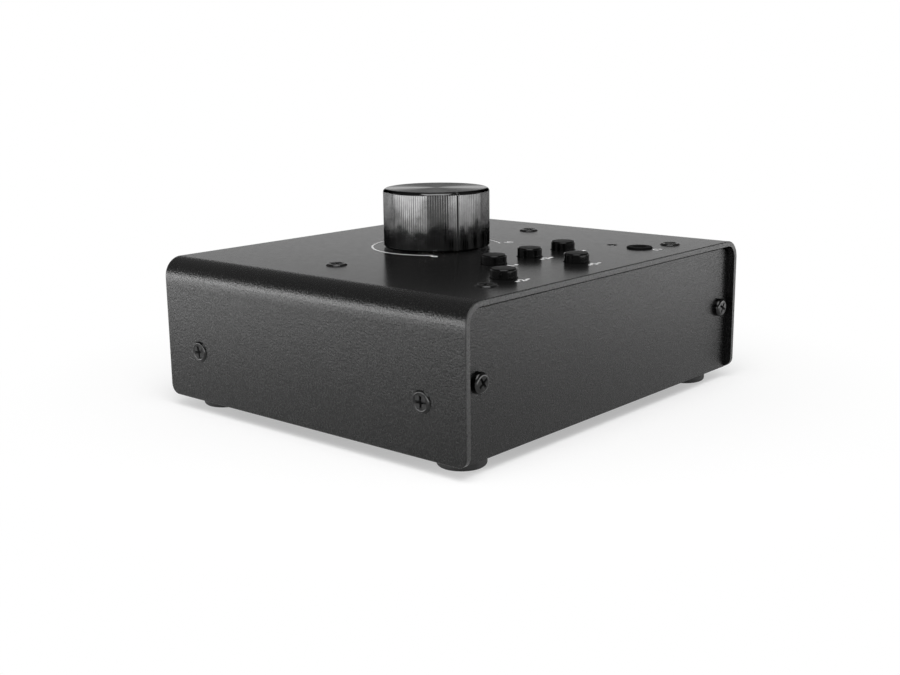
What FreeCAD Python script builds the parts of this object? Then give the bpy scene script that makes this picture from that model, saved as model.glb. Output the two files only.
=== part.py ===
import FreeCAD, Part
import math
import os

from FreeCAD import Vector

# A desktop monitor controller: a folded steel case with one big volume knob, five push buttons, a
# status lamp and a headphone socket on top, a blank front and a rear panel of line sockets.
# Millimetres, +Z up. The origin is the middle of the footprint, on the desk. The user sits at -Y
# and looks towards +Y, so the front panel faces -Y and the left wall faces -X.

# ------------------------------------------------------------------ driving sizes: case
CASE_W = 128.7  # outside of one side wall to the other
CASE_D = 112.2  # front edge of the cover to its rear edge
CASE_H = 39.8  # lower edge of the cover to its top
SHEET = 1.5  # steel sheet of the cover, tray and panels
BEND_R = 5.5  # outer radius of the cover's two bends
WALL_CORNER_R = 3.0  # lower corners of the side walls
EDGE_BREAK = 0.3  # rounding of the cover's cut edges, on the outside
PANEL_RECESS = 2.15  # how far the end panels lie inside the cover's edges
PANEL_TOP_GAP = 0.9  # end panels to the cover's underside
TRAY_BEND_R = 2.4  # outer radius of the tray's two bends
FLANGE_H = 26.0  # tray flanges, from the tray's underside
TAB_W = 7.0  # end tabs, folded inwards from the flanges
TAB_RISE = 10.5  # tray underside to the lower edge of a tab
FOOT_R = 6.35
FOOT_H = 3.5
FOOT_EDGE_R = 1.0
FOOT_INSET_X = 11.05  # side wall to a foot's centre
FOOT_INSET_Y = 10.9  # cover edge to a foot's centre

# ------------------------------------------------------------------ driving sizes: clearances
SNUG = 0.02  # radial gap of threads, pressed pins and seated pieces
RUN = 0.04  # radial running gap of the volume shaft in its bush
SLIP = 0.1  # gap beside sheets that slide into each other
HOLE_GAP = 0.2  # radial gap of a screw or collar in a plain hole

# ------------------------------------------------------------------ driving sizes: screws
SCREW_R = 1.5  # M3
RAISED_HEAD_R = 2.95  # screws in the cover's top and sides
RAISED_HEAD_H = 0.4  # their heads above the cover
RAISED_FLAT_R = 2.1
RAISED_RIM_H = 0.1
TOP_SCREW_L = 8.0
SIDE_SCREW_L = 6.0
PAN_HEAD_R = 2.7
PAN_HEAD_H = 1.7
PAN_FLAT_R = 1.8  # flat face of the pan head
PAN_RIM_H = 0.5  # straight rim under the pan head's dome
PANEL_SCREW_L = 6.0
BOARD_SCREW_L = 5.0
TRAY_SCREW_L = 4.0  # from under the tray into the main board's spacers
CROSS_L = 3.3  # cross recess, across its mouth
CROSS_FOOT_L = 1.7  # cross recess, across its floor
CROSS_W = 0.75
CROSS_DEPTH = 1.2
NUT_FLATS = 5.5
NUT_H = 2.4
THREAD_CHAMFER = 0.3
TOP_SCREW_OUT = 11.25  # outer columns of controls to the four top screws
TOP_SCREW_FRONT = 11.0  # cover's front edge to the first pair
TOP_SCREW_REAR = 63.6  # cover's front edge to the second pair
SIDE_SCREW_INSET_Y = 14.0  # cover edge to a side screw
SIDE_SCREW_RISE = 14.3  # cover's lower edge to the side screws
PANEL_SCREW_INSET_X = 6.85  # side wall to the end panels' screws
PANEL_SCREW_RISE = 19.65  # cover's lower edge to the end panels' screws

# ------------------------------------------------------------------ driving sizes: top controls
KNOB_R = 15.8
KNOB_H = 17.0
KNOB_GAP = 0.4  # knob to cover
KNOB_FROM_FRONT = 65.2
KNOB_EDGE_R = 1.2  # rounding at the edge of the knob's top face
KNOB_FOOT_BEVEL = 0.3  # at its lower edge
KNURL_TEETH = 145
KNURL_DEPTH = 0.08
KNURL_LAND = 0.7  # share of the pitch that stays round
POINTER_ANGLE = 244.0  # degrees about +Z from +X: the knob stands at its lowest setting
POINTER_W = 0.55
POINTER_DEPTH = 0.5
KNOB_POCKET_R = 11.0  # pocket under the knob that clears the nut
KNOB_POCKET_H = 4.4
GRUB_R = 1.5
GRUB_L = 5.0
GRUB_RISE = 8.5  # knob's lower face to the grub screw
GRUB_KEY_R = 0.75
GRUB_KEY_DEPTH = 1.6

CONTROL_PITCH_X = 16.0  # columns of controls
FRONT_ROW = 14.5  # cover's front edge to the front row of buttons
ROW_PITCH = 16.0  # front row to rear row
BUTTON_R = 3.45
BUTTON_RISE = 2.7  # cap above the cover when it is out
BUTTON_DOME = 0.12  # height of the crown on a cap
BUTTON_EDGE_R = 0.5
BUTTON_HOLE_R = 3.75
BUTTON_TRAVEL = 1.8
BUTTON_FLANGE_R = 4.2  # collar that keeps a cap under the cover
BUTTON_FLANGE_H = 0.8
LAMP_FROM_FRONT = 24.0
LAMP_R = 1.5
LAMP_FLANGE_R = 1.9
LAMP_FLANGE_H = 1.0
LAMP_H = 6.5
LAMP_SINK = 0.1  # tip of the lens below the cover's face
LEAD_W = 0.5
LEAD_PITCH = 2.54
PHONES_FROM_FRONT = 14.5
PHONES_NOSE_R = 3.7
PHONES_NOSE_RISE = 0.45  # socket's nose above the cover
PHONES_NOSE_EDGE_R = 0.2
PHONES_BODY_W = 8.0
PHONES_BORE_R = 1.8  # takes a 3.5 mm plug
PHONES_FLOOR = 1.5
PHONES_LEAD_IN = 0.4
PHONES_CONTACT_W = 0.7
PHONES_CONTACT_T = 0.3

# ------------------------------------------------------------------ driving sizes: inside
BOARD_T = 1.6
PIN_REACH = 1.5  # soldered pins below a board
TOP_SPACER_H = 12.0  # control board to the cover
MAIN_SPACER_H = 6.0  # tray floor to the main board
SPACER_FLATS = 5.5
BOARD_MARGIN = 5.0  # board edge beyond its screws
CONTROL_BOARD_REAR = 10.0  # control board behind the volume shaft
MAIN_SPACER_INSET_X = 16.35  # side wall to the main board's screws
MAIN_SPACER_REAR_Y = 34.0  # rear edge of the cover to the rear pair
MAIN_SPACER_PITCH_Y = 46.0
PANEL_GAP = 0.6  # main board to the rear panel

POT_W = 17.0
POT_FLOOR = 1.0
POT_LID = 1.5
POT_CAVITY_R = 7.6
BUSH_R = 3.5
BUSH_FLANGE_R = 5.0
BUSH_FLANGE_H = 1.0
BUSH_RISE = 4.0  # bush above the cover
SHAFT_R = 3.0
SHAFT_IN_KNOB = 10.0  # shaft inside the knob's bore
WASHER_R = 6.5
WASHER_H = 0.5
POT_NUT_FLATS = 10.0
POT_NUT_H = 2.0
TRACK_T = 0.8
TRACK_IN_R = 4.0
TRACK_PIN_R = 0.4
TRACK_PIN_RING_R = 5.8
WIPER_GAP = 0.3
WIPER_T = 1.2
WIPER_HUB_R = 4.6
WIPER_ARM_W = 3.0
WIPER_ARM_R = 7.1

SWITCH_W = 7.0
SWITCH_H = 7.0
SWITCH_WALL = 0.6
SWITCH_LID = 0.8
PLUNGER_W = 3.0
PLUNGER_FLANGE_W = 5.0
PLUNGER_FLANGE_H = 1.0
PLUNGER_GAP = 0.1  # beside the plunger, and between its flange and the lid
PLUNGER_IN_CAP = 3.6
SPRING_R = 1.9  # middle of the wire
SPRING_WIRE_R = 0.18
SPRING_TURNS = 5
SPRING_STEPS = 12  # short straight lengths of wire in one turn
SPRING_END_GAP = 0.03
SWITCH_PIN_W = 0.6
SWITCH_PIN_RISE = 2.0
SWITCH_PIN_OFFSET = 2.4

LINE_JACKS = 6
LINE_BODY_W = 13.0
LINE_BODY_DEPTH = 24.0
LINE_BORE_R = 3.25  # takes a 6.35 mm plug
LINE_CAVITY_R = 3.6
LINE_FLOOR = 3.0
LINE_COLLAR_R = 4.75
LINE_COLLAR_SEAT = 6.0  # collar inside the body
LINE_COLLAR_EDGE = 0.3  # collar's end inside the cover's rear edge
LINE_NUT_FLATS = 12.0
LINE_NUT_H = 1.6
LINE_LEAF_W = 2.4
LINE_LEAF_L = 4.0
LINE_LEAF_T = 0.7
LINE_LEAF_DROP = 3.3  # bore axis to the top of a contact leaf
LINE_PIN_W = 0.8
LINE_CONTACT_FIRST = 9.0  # panel to the first contact
LINE_CONTACT_PITCH = 5.0
REAR_MARGIN = 1.5  # end tab of the tray to the nearest socket
INLET_W = 9.0
INLET_BODY_H = 11.0
INLET_DEPTH = 14.0
INLET_BORE_R = 3.0  # takes a 5.5 mm barrel
INLET_NOSE_R = 4.2  # round nose in the panel's hole
INLET_BORE_DEPTH = 11.0
INLET_PIN_R = 1.0
INLET_PIN_L = 9.0
INLET_ROOT_R = 1.3  # thicker root of the pin, pressed into the body
INLET_PIN_SEAT = 2.0

HEADER_FROM_SPACER_X = 14.0  # places on the main board are set from its screws
HEADER_FROM_SPACER_Y = 14.0
HEADER_W = 9.0
HEADER_L = 17.0
HEADER_H = 6.0
RIBBON_W = 12.7
RIBBON_T = 0.9
RIBBON_REACH = 8.0  # straight part of the ribbon beside a header
RIBBON_LIFT = 4.3  # board face to the ribbon's middle
RELAY_COUNT = 4
RELAY_W = 7.5
RELAY_L = 15.0
RELAY_H = 10.0
RELAY_PITCH = 12.0
RELAY_X = -6.0
RELAY_FROM_SPACER_Y = 10.0
CHIP_COUNT = 3
CHIP_W = 4.0
CHIP_L = 5.0
CHIP_H = 1.5
CHIP_STAND = 0.15
CHIP_LEG_W = 0.4
CHIP_LEG_PITCH = 1.27
CHIP_LEG_REACH = 1.0
CHIP_LEG_T = 0.2
CHIP_PITCH = 13.0
CHIP_X = 2.0
CHIP_FROM_SPACER_Y = 16.0
CAP_COUNT = 3
CAP_R = 4.0
CAP_H = 11.0
CAP_PITCH = 10.0
CAP_FROM_SPACER_X = 4.0
CAP_FROM_SPACER_Y = 10.0
CAP_EDGE_R = 0.6

# ------------------------------------------------------------------ levels and lines that follow
base_z = FOOT_H
top_z = base_z + CASE_H
under_top_z = top_z - SHEET
tray_floor_z = base_z + SHEET
half_w = CASE_W / 2
half_d = CASE_D / 2
front_y = -half_d
inner_half_w = half_w - SHEET
tray_half_w = inner_half_w - SLIP
panel_out_y = half_d - PANEL_RECESS
panel_in_y = panel_out_y - SHEET
main_board_z = tray_floor_z + MAIN_SPACER_H
main_top_z = main_board_z + BOARD_T
control_top_z = under_top_z - TOP_SPACER_H
control_board_z = control_top_z - BOARD_T
control_pin_z = control_board_z - PIN_REACH
main_pin_z = main_board_z - PIN_REACH

side_column_x = 2 * CONTROL_PITCH_X
knob_x = 0.0
knob_y = front_y + KNOB_FROM_FRONT
knob_z = top_z + KNOB_GAP
knob_top_z = knob_z + KNOB_H
top_screw_x = side_column_x + TOP_SCREW_OUT
top_screw_ys = (front_y + TOP_SCREW_FRONT, front_y + TOP_SCREW_REAR)
top_screw_places = [(sx * top_screw_x, y) for sx in (-1, 1) for y in top_screw_ys]
side_screw_y = half_d - SIDE_SCREW_INSET_Y
side_screw_z = base_z + SIDE_SCREW_RISE
panel_screw_x = half_w - PANEL_SCREW_INSET_X
panel_screw_z = base_z + PANEL_SCREW_RISE
main_spacer_x = half_w - MAIN_SPACER_INSET_X
main_spacer_ys = (
    half_d - MAIN_SPACER_REAR_Y - MAIN_SPACER_PITCH_Y,
    half_d - MAIN_SPACER_REAR_Y,
)
main_spacer_places = [(sx * main_spacer_x, y) for sx in (-1, 1) for y in main_spacer_ys]

front_row_y = front_y + FRONT_ROW
rear_row_y = front_row_y + ROW_PITCH
button_places = [
    (-CONTROL_PITCH_X, rear_row_y),
    (-side_column_x, front_row_y),
    (0.0, rear_row_y),
    (CONTROL_PITCH_X, rear_row_y),
    (0.0, front_row_y),
]
lamp_y = front_y + LAMP_FROM_FRONT
phones_y = front_y + PHONES_FROM_FRONT

pot_top_z = under_top_z - BUSH_FLANGE_H
bush_top_z = top_z + BUSH_RISE
cavity_floor_z = control_top_z + POT_FLOOR
cavity_top_z = pot_top_z - POT_LID
track_top_z = cavity_floor_z + TRACK_T
wiper_z = track_top_z + WIPER_GAP
knob_pocket_z = knob_z + KNOB_POCKET_H
shaft_top_z = knob_pocket_z + SHAFT_IN_KNOB

switch_top_z = control_top_z + SWITCH_H
switch_floor_z = control_top_z + SWITCH_WALL
switch_lid_z = switch_top_z - SWITCH_LID
plunger_flange_z = switch_lid_z - PLUNGER_GAP - PLUNGER_FLANGE_H
cap_bottom_z = switch_top_z + BUTTON_TRAVEL + HOLE_GAP
cap_top_z = top_z + BUTTON_RISE
plunger_top_z = cap_bottom_z + PLUNGER_IN_CAP

line_jack_z = main_top_z + LINE_BODY_W / 2
inlet_z = main_top_z + INLET_BODY_H / 2
rear_space = tray_half_w - SHEET - TAB_W - REAR_MARGIN  # sockets fit between -rear_space and rear_space
inlet_x = rear_space - INLET_W / 2
line_pitch = (inlet_x - INLET_W / 2 + rear_space) / LINE_JACKS
line_jack_xs = [-rear_space + line_pitch * (i + 0.5) for i in range(LINE_JACKS)]

header_x = HEADER_FROM_SPACER_X - main_spacer_x
header_y = main_spacer_ys[0] + HEADER_FROM_SPACER_Y
relay_y = main_spacer_ys[1] - RELAY_FROM_SPACER_Y
chip_y = main_spacer_ys[0] + CHIP_FROM_SPACER_Y
cap_x = CAP_FROM_SPACER_X - main_spacer_x
cap_y = main_spacer_ys[1] - CAP_FROM_SPACER_Y


# ------------------------------------------------------------------ shared shapes
def box(x, y, z, size_x, size_y, size_z):
    """A block centred on x and y that stands on z."""
    return Part.makeBox(size_x, size_y, size_z, Vector(x - size_x / 2, y - size_y / 2, z))


def rod(x, y, z0, z1, radius):
    """An upright cylinder from z0 to z1."""
    return Part.makeCylinder(radius, z1 - z0, Vector(x, y, z0))


def rod_along_y(x, y0, y1, z, radius):
    return Part.makeCylinder(radius, y1 - y0, Vector(x, y0, z), Vector(0, 1, 0))


def hexagon(x, y, z0, z1, flats):
    """An upright hexagonal bar with two flats facing +X and -X."""
    corner_r = flats / math.sqrt(3)
    points = []
    for i in range(7):
        angle = math.radians(60 * i + 30)
        points.append(Vector(x + corner_r * math.cos(angle), y + corner_r * math.sin(angle), z0))
    return Part.Face(Part.makePolygon(points)).extrude(Vector(0, 0, z1 - z0))


def turned(profile):
    """A solid turned about the Z axis from (radius, z) points, all joined by straight lines."""
    points = [Vector(r, 0, z) for r, z in profile]
    face = Part.Face(Part.makePolygon(points + points[:1]))
    return face.revolve(Vector(0, 0, 0), Vector(0, 0, 1), 360)


def moved(shape, x, y, z):
    copy = shape.copy()
    copy.translate(Vector(x, y, z))
    return copy


def spun(shape, angle, x=0.0, y=0.0):
    """A copy turned by angle degrees about the upright line through x, y."""
    copy = shape.copy()
    copy.rotate(Vector(x, y, 0), Vector(0, 0, 1), angle)
    return copy


def facing(shape, axis, angle):
    """A copy turned about the origin, so that what pointed up points sideways."""
    copy = shape.copy()
    copy.rotate(Vector(0, 0, 0), axis, angle)
    return copy


def joined(shapes):
    result = shapes[0].multiFuse(shapes[1:])
    return result.removeSplitter()


def without(shape, tools):
    return shape.cut(Part.makeCompound(tools))


def filleted(shape, radius, chosen):
    """Round the straight edges whose middle passes the test."""
    edges = [e for e in shape.Edges if chosen(e.BoundBox)]
    return shape.makeFillet(radius, edges)


def save(name, solids):
    """Write one node: a list of separate solids."""
    solids = [s for shape in solids for s in shape.Solids]
    shape = solids[0] if len(solids) == 1 else Part.makeCompound(solids)
    if not shape.isValid():
        raise ValueError(name + " is not a valid shape")
    shape.exportStep(os.path.join("parts", name + ".step"))


# ------------------------------------------------------------------ fasteners
def cross_recess():
    """The cutter of a cross recess, its mouth at z = 0."""
    outline = [
        Vector(-CROSS_L / 2, 0, 0),
        Vector(CROSS_L / 2, 0, 0),
        Vector(CROSS_FOOT_L / 2, 0, -CROSS_DEPTH),
        Vector(-CROSS_FOOT_L / 2, 0, -CROSS_DEPTH),
    ]
    face = Part.Face(Part.makePolygon(outline + outline[:1]))
    blade = moved(face.extrude(Vector(0, CROSS_W, 0)), 0, -CROSS_W / 2, 0)
    return blade.fuse(spun(blade, 90))


def cross_screw(length, head_r, flat_r, rim_h, head_h, cone_h):
    """A cross-head screw, point down: a domed head on z = 0 and a cone below it."""
    start = Vector(head_r, 0, rim_h)
    end = Vector(flat_r, 0, head_h)
    fullness = 0.75  # 0.5 would be a straight cone between the rim and the flat face
    middle_r = flat_r + (head_r - flat_r) * fullness
    middle = Vector(middle_r, 0, rim_h + (head_h - rim_h) * fullness)
    lower = Part.makePolygon(
        [
            end,
            Vector(0, 0, head_h),
            Vector(0, 0, -length),
            Vector(SCREW_R - THREAD_CHAMFER, 0, -length),
            Vector(SCREW_R, 0, -length + THREAD_CHAMFER),
            Vector(SCREW_R, 0, -cone_h),
            Vector(head_r, 0, 0),
            start,
        ]
    )
    dome = Part.Arc(start, middle, end).toShape()
    face = Part.Face(Part.Wire(lower.Edges + [dome]))
    body = face.revolve(Vector(0, 0, 0), Vector(0, 0, 1), 360)
    return body.cut(moved(cross_recess(), 0, 0, head_h))


def pan_screw(length):
    """A pan-head screw, point down, the underside of its head at z = 0."""
    return cross_screw(length, PAN_HEAD_R, PAN_FLAT_R, PAN_RIM_H, PAN_HEAD_H, 0.0)


def raised_screw(length):
    """A countersunk screw with a low domed head; its rim is at z = 0."""
    cone_h = RAISED_HEAD_R - SCREW_R
    return cross_screw(length, RAISED_HEAD_R, RAISED_FLAT_R, RAISED_RIM_H, RAISED_HEAD_H, cone_h)


def countersink():
    """The cutter for a raised screw in a sheet whose face is at z = 0."""
    hole_r = SCREW_R + HOLE_GAP
    mouth_r = RAISED_HEAD_R + SNUG
    return turned(
        [
            (0, 1),
            (mouth_r, 1),
            (mouth_r, 0),
            (hole_r, hole_r - mouth_r),
            (hole_r, -2 * SHEET),
            (0, -2 * SHEET),
        ]
    )


def threaded(shape, x, y, z0, z1):
    """Cut an M3 thread's hole with a chamfered mouth at each end."""
    hole_r = SCREW_R + SNUG
    wide_r = hole_r + THREAD_CHAMFER
    cutter = turned(
        [
            (0, z0),
            (wide_r, z0),
            (hole_r, z0 + THREAD_CHAMFER),
            (hole_r, z1 - THREAD_CHAMFER),
            (wide_r, z1),
            (0, z1),
        ]
    )
    return shape.cut(moved(cutter, x, y, 0))


def nut():
    """A hexagonal M3 nut that hangs below z = 0."""
    return threaded(hexagon(0, 0, -NUT_H, 0, NUT_FLATS), 0, 0, -NUT_H, 0)


def spacer(x, y, z0, z1):
    return threaded(hexagon(x, y, z0, z1, SPACER_FLATS), x, y, z0, z1)


def on_side_wall(shape, side, y):
    """Turn what points up so that it points out of a side wall, at the side screws' height."""
    turned_shape = facing(shape, Vector(0, 1, 0), 90 * side)
    return moved(turned_shape, 0, y, side_screw_z)


def on_end_panel(shape, end, x, y):
    """Turn what points up so that it points out of an end panel, at the panel screws' height."""
    turned_shape = facing(shape, Vector(1, 0, 0), -90 * end)
    return moved(turned_shape, x, y, panel_screw_z)


# ------------------------------------------------------------------ case
def top_cover():
    outer = box(0, 0, base_z, CASE_W, CASE_D, CASE_H)
    outer = filleted(outer, BEND_R, lambda b: b.ZMin > top_z - 1 and b.YLength > 1)
    hollow_h = CASE_H - SHEET + 1
    hollow = box(0, 0, base_z - 1, 2 * inner_half_w, CASE_D + 2, hollow_h)
    hollow = filleted(hollow, BEND_R - SHEET, lambda b: b.ZMin > under_top_z - 1 and b.YLength > 1)
    cover = outer.cut(hollow)
    cover = filleted(
        cover,
        WALL_CORNER_R,
        lambda b: b.ZMax < base_z + 0.1 and b.YLength < 0.1 and b.XLength > SHEET / 2,
    )
    cover = filleted(
        cover,
        EDGE_BREAK,
        lambda b: b.YLength < 0.1 and abs(b.YMin) > half_d - 0.1 and b.ZMin > top_z - 0.1,
    )
    mouth = countersink()
    tools = [moved(mouth, x, y, top_z) for x, y in top_screw_places]
    for side in (-1, 1):
        for y in (-side_screw_y, side_screw_y):
            tools.append(moved(on_side_wall(mouth, side, y), side * half_w, 0, 0))
    tools += [rod(x, y, under_top_z - 1, top_z + 1, BUTTON_HOLE_R) for x, y in button_places]
    tools.append(rod(side_column_x, lamp_y, under_top_z - 1, top_z + 1, LAMP_R + SLIP))
    tools.append(rod(side_column_x, phones_y, under_top_z - 1, top_z + 1, PHONES_NOSE_R + HOLE_GAP))
    tools.append(rod(knob_x, knob_y, under_top_z - 1, top_z + 1, BUSH_R + SLIP))
    return without(cover, tools)


def base_tray():
    length = 2 * panel_in_y
    outer = box(0, 0, base_z, 2 * tray_half_w, length, FLANGE_H)
    outer = filleted(outer, TRAY_BEND_R, lambda b: b.ZMax < base_z + 0.1 and b.YLength > 1)
    inner_w = 2 * (tray_half_w - SHEET)
    inner = box(0, 0, tray_floor_z, inner_w, length - 2 * SHEET, FLANGE_H)
    inner = filleted(inner, TRAY_BEND_R - SHEET, lambda b: b.ZMax < tray_floor_z + 0.1 and b.YLength > 1)
    tray = outer.cut(inner)
    tools = []
    for end in (-1, 1):
        end_y = end * (panel_in_y - SHEET / 2)
        mouth_w = inner_w - 2 * TAB_W
        tools.append(box(0, end_y, tray_floor_z, mouth_w, SHEET + SNUG, FLANGE_H))
        tools.append(box(0, end_y, tray_floor_z, inner_w, SHEET + SNUG, TAB_RISE - SHEET))
        for sx in (-1, 1):
            hole = rod_along_y(
                sx * panel_screw_x, end_y - SHEET, end_y + SHEET, panel_screw_z, SCREW_R + HOLE_GAP
            )
            tools.append(hole)
    for side in (-1, 1):
        for y in (-side_screw_y, side_screw_y):
            hole = rod(0, 0, -SHEET, SHEET, SCREW_R + HOLE_GAP)
            tools.append(moved(on_side_wall(hole, side, y), side * (tray_half_w - SHEET / 2), 0, 0))
    for x, y in main_spacer_places:
        tools.append(rod(x, y, base_z - 1, tray_floor_z + 1, SCREW_R + HOLE_GAP))
    return without(tray, tools)


def end_panel(end, holes):
    """A blank panel just inside the cover; end is -1 at the front and 1 at the rear."""
    middle_y = end * (panel_in_y + SHEET / 2)
    height = under_top_z - PANEL_TOP_GAP - base_z
    panel = box(0, middle_y, base_z, 2 * tray_half_w, SHEET, height)
    corner_r = BEND_R - SHEET - SLIP
    panel = filleted(panel, corner_r, lambda b: b.ZMin > base_z + height - 0.1 and b.XLength < 0.1)
    for sx in (-1, 1):
        x = sx * panel_screw_x
        holes.append(
            rod_along_y(x, middle_y - SHEET, middle_y + SHEET, panel_screw_z, SCREW_R + HOLE_GAP)
        )
    return without(panel, holes)


def rear_holes():
    y0 = panel_in_y - 1
    y1 = panel_out_y + 1
    holes = [rod_along_y(x, y0, y1, line_jack_z, LINE_COLLAR_R + SLIP) for x in line_jack_xs]
    holes.append(rod_along_y(inlet_x, y0, y1, inlet_z, INLET_NOSE_R + SLIP))
    return holes


def rubber_foot(x, y):
    foot = rod(x, y, 0, FOOT_H, FOOT_R)
    return filleted(foot, FOOT_EDGE_R, lambda b: b.ZMax < 0.1)


def build_case():
    save("top_cover", [top_cover()])
    save("base_tray", [base_tray()])
    save("front_panel", [end_panel(-1, [])])
    save("rear_panel", [end_panel(1, rear_holes())])

    screw = raised_screw(TOP_SCREW_L)
    turns = (20, 65, 40, 10)  # the screws' recesses stop at their own angles
    top_screws = []
    for (x, y), turn in zip(top_screw_places, turns):
        top_screws.append(moved(spun(screw, turn), x, y, top_z))
    save("cover_top_screws", top_screws)

    side_screws = []
    side_nuts = []
    for side in (-1, 1):
        for y, turn in ((-side_screw_y, 3), (side_screw_y, 13)):
            screw = spun(raised_screw(SIDE_SCREW_L), turn)
            side_screws.append(moved(on_side_wall(screw, side, y), side * half_w, 0, 0))
            side_nuts.append(moved(on_side_wall(nut(), side, y), side * (tray_half_w - SHEET), 0, 0))
    save("cover_side_screws", side_screws)
    save("cover_side_nuts", side_nuts)

    panel_nuts = []
    for end, name in ((-1, "front_panel_screws"), (1, "rear_panel_screws")):
        screws = []
        for sx, turn in ((-1, 35), (1, 60)):
            x = sx * panel_screw_x
            screw = spun(pan_screw(PANEL_SCREW_L), turn)
            screws.append(on_end_panel(screw, end, x, end * panel_out_y))
            panel_nuts.append(on_end_panel(nut(), end, x, end * (panel_in_y - SHEET)))
        save(name, screws)
    save("panel_nuts", panel_nuts)

    foot_x = half_w - FOOT_INSET_X
    foot_y = half_d - FOOT_INSET_Y
    feet = [rubber_foot(sx * foot_x, sy * foot_y) for sx in (-1, 1) for sy in (-1, 1)]
    save("rubber_feet", feet)


# ------------------------------------------------------------------ volume control
def knurled_bar(z0, z1):
    """A bar with fine upright grooves, one of them at angle 0."""
    points = []
    step = 2 * math.pi / KNURL_TEETH
    side = (1 - KNURL_LAND) / 2
    for i in range(KNURL_TEETH):
        for radius, share in ((KNOB_R - KNURL_DEPTH, 0), (KNOB_R, side), (KNOB_R, 1 - side)):
            angle = (i + share) * step
            points.append(Vector(radius * math.cos(angle), radius * math.sin(angle), z0))
    face = Part.Face(Part.makePolygon(points + points[:1]))
    return face.extrude(Vector(0, 0, z1 - z0))


def volume_knob():
    """The knob about its own axis, with its heights in place."""
    blank = turned(
        [
            (0, knob_z),
            (KNOB_R - KNOB_FOOT_BEVEL, knob_z),
            (KNOB_R + SNUG, knob_z + KNOB_FOOT_BEVEL + SNUG),
            (KNOB_R + SNUG, knob_top_z),
            (0, knob_top_z),
        ]
    )
    blank = filleted(blank, KNOB_EDGE_R, lambda b: b.ZMin > knob_top_z - 0.1 and b.YLength > KNOB_R)
    body = blank.common(spun(knurled_bar(knob_z - 1, knob_top_z + 1), POINTER_ANGLE))
    tools = [
        rod(0, 0, knob_z - 1, knob_pocket_z, KNOB_POCKET_R),
        rod(0, 0, knob_z - 1, shaft_top_z + SLIP, SHAFT_R + SNUG),
    ]
    pointer = Part.makeBox(
        2 * POINTER_DEPTH, POINTER_W, KNOB_H, Vector(KNOB_R - POINTER_DEPTH, -POINTER_W / 2, knob_z - 1)
    )
    tools.append(spun(pointer, POINTER_ANGLE))
    grub_hole = Part.makeCylinder(
        GRUB_R + SNUG, KNOB_R + 1, Vector(0, 0, knob_z + GRUB_RISE), Vector(1, 0, 0)
    )
    tools.append(spun(grub_hole, POINTER_ANGLE - 180))
    return without(body, tools)


def grub_screw():
    z = knob_z + GRUB_RISE
    inner_r = SHAFT_R + SNUG
    body = Part.makeCylinder(GRUB_R, GRUB_L, Vector(inner_r, 0, z), Vector(1, 0, 0))
    key = hexagon(0, 0, 0, 2 * GRUB_KEY_DEPTH, 2 * GRUB_KEY_R)
    key = moved(facing(key, Vector(0, 1, 0), 90), inner_r + GRUB_L - GRUB_KEY_DEPTH, 0, z)
    return spun(body.cut(key), POINTER_ANGLE - 180)


def track_pin_places():
    places = []
    for angle in (-130, -90, -50):
        a = math.radians(angle)
        places.append((knob_x + TRACK_PIN_RING_R * math.cos(a), knob_y + TRACK_PIN_RING_R * math.sin(a)))
    return places


def build_volume_control():
    save("volume_knob", [moved(volume_knob(), knob_x, knob_y, 0)])
    save("knob_set_screw", [moved(grub_screw(), knob_x, knob_y, 0)])

    housing = box(knob_x, knob_y, control_top_z, POT_W, POT_W, pot_top_z - control_top_z)
    tools = [
        rod(knob_x, knob_y, cavity_floor_z, cavity_top_z, POT_CAVITY_R),
        rod(knob_x, knob_y, cavity_top_z - SNUG, pot_top_z + 1, BUSH_R + SNUG),
    ]
    for x, y in track_pin_places():
        tools.append(rod(x, y, control_top_z - 1, cavity_floor_z + SNUG, TRACK_PIN_R + SNUG))
    save("pot_housing", [without(housing, tools)])

    track = rod(knob_x, knob_y, cavity_floor_z, track_top_z, POT_CAVITY_R - SNUG)
    track = track.cut(rod(knob_x, knob_y, cavity_floor_z - 1, track_top_z + 1, TRACK_IN_R))
    pins = [rod(x, y, control_pin_z, track_top_z - SNUG, TRACK_PIN_R) for x, y in track_pin_places()]
    save("pot_track", [joined([track] + pins)])

    hub = rod(knob_x, knob_y, wiper_z, wiper_z + WIPER_T, WIPER_HUB_R)
    arm_l = WIPER_ARM_R - SHAFT_R
    arm = Part.makeBox(
        arm_l, WIPER_ARM_W, WIPER_T, Vector(knob_x + SHAFT_R, knob_y - WIPER_ARM_W / 2, wiper_z)
    )
    wiper = joined([hub, spun(arm, POINTER_ANGLE, knob_x, knob_y)])
    wiper = wiper.cut(rod(knob_x, knob_y, wiper_z - 1, wiper_z + WIPER_T + 1, SHAFT_R + SNUG))
    save("pot_wiper", [wiper])
    save("pot_shaft", [rod(knob_x, knob_y, wiper_z, shaft_top_z, SHAFT_R)])

    bush = joined(
        [
            rod(knob_x, knob_y, cavity_top_z, bush_top_z, BUSH_R),
            rod(knob_x, knob_y, pot_top_z, under_top_z, BUSH_FLANGE_R),
        ]
    )
    bush = bush.cut(rod(knob_x, knob_y, cavity_top_z - 1, bush_top_z + 1, SHAFT_R + RUN))
    save("pot_bush", [bush])

    washer = rod(knob_x, knob_y, top_z, top_z + WASHER_H, WASHER_R)
    save("pot_washer", [washer.cut(rod(knob_x, knob_y, top_z - 1, bush_top_z, BUSH_R + SLIP))])
    nut_z = top_z + WASHER_H
    bush_nut = hexagon(knob_x, knob_y, nut_z, nut_z + POT_NUT_H, POT_NUT_FLATS)
    save("pot_nut", [bush_nut.cut(rod(knob_x, knob_y, top_z, bush_top_z, BUSH_R + SNUG))])


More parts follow.
